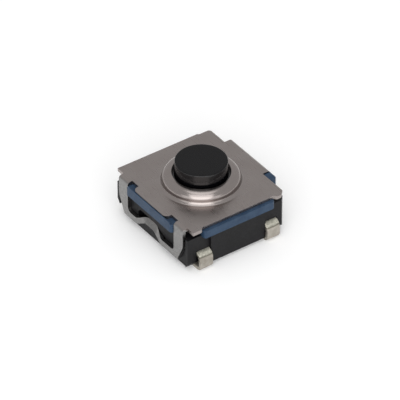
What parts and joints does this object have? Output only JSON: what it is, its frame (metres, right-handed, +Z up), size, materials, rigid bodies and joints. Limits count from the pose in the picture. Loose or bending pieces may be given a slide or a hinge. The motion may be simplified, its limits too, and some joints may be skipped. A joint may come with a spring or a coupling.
{
  "type": "tactile push button switch",
  "caption": "Sealed surface-mount tactile switch: a square metal-capped housing with four J-bent solder terminals and a round push button that travels straight down.",
  "frame": {"origin": "Middle of the solder plane, under the centre of the push button.", "axes": "+Z is up, the way the button returns; X runs through the terminals, from one terminal side to the other; the cover's latch hoop is on the -Y side."},
  "size_m": [0.0064, 0.0063, 0.0037],
  "materials": {
    "housing_plastic": "moulded, fine matt texture",
    "plated_contact": "bright tin or silver plating over copper alloy",
    "spring_steel": "bright rolled spring steel",
    "seal_silicone": "satin silicone",
    "button_plastic": "satin moulded",
    "cover_steel": "plain stamped stainless sheet, bright drawn collar"
  },
  "bodies": {
    "base": {"housing": "housing_plastic", "outer_contact_frame": "plated_contact", "centre_contact_frame": "plated_contact", "snap_dome": "spring_steel", "seal": "seal_silicone", "cover": "cover_steel"},
    "button": {"push_button": "button_plastic"}
  },
  "joints": [
    {"name": "press", "type": "slide", "parent": "base", "child": "button", "axis": [0, 0, -1], "range_m": [0, 0.00028], "stiffness_N_per_m": 2000, "deforming": ["snap_dome", "seal"]}
  ]
}
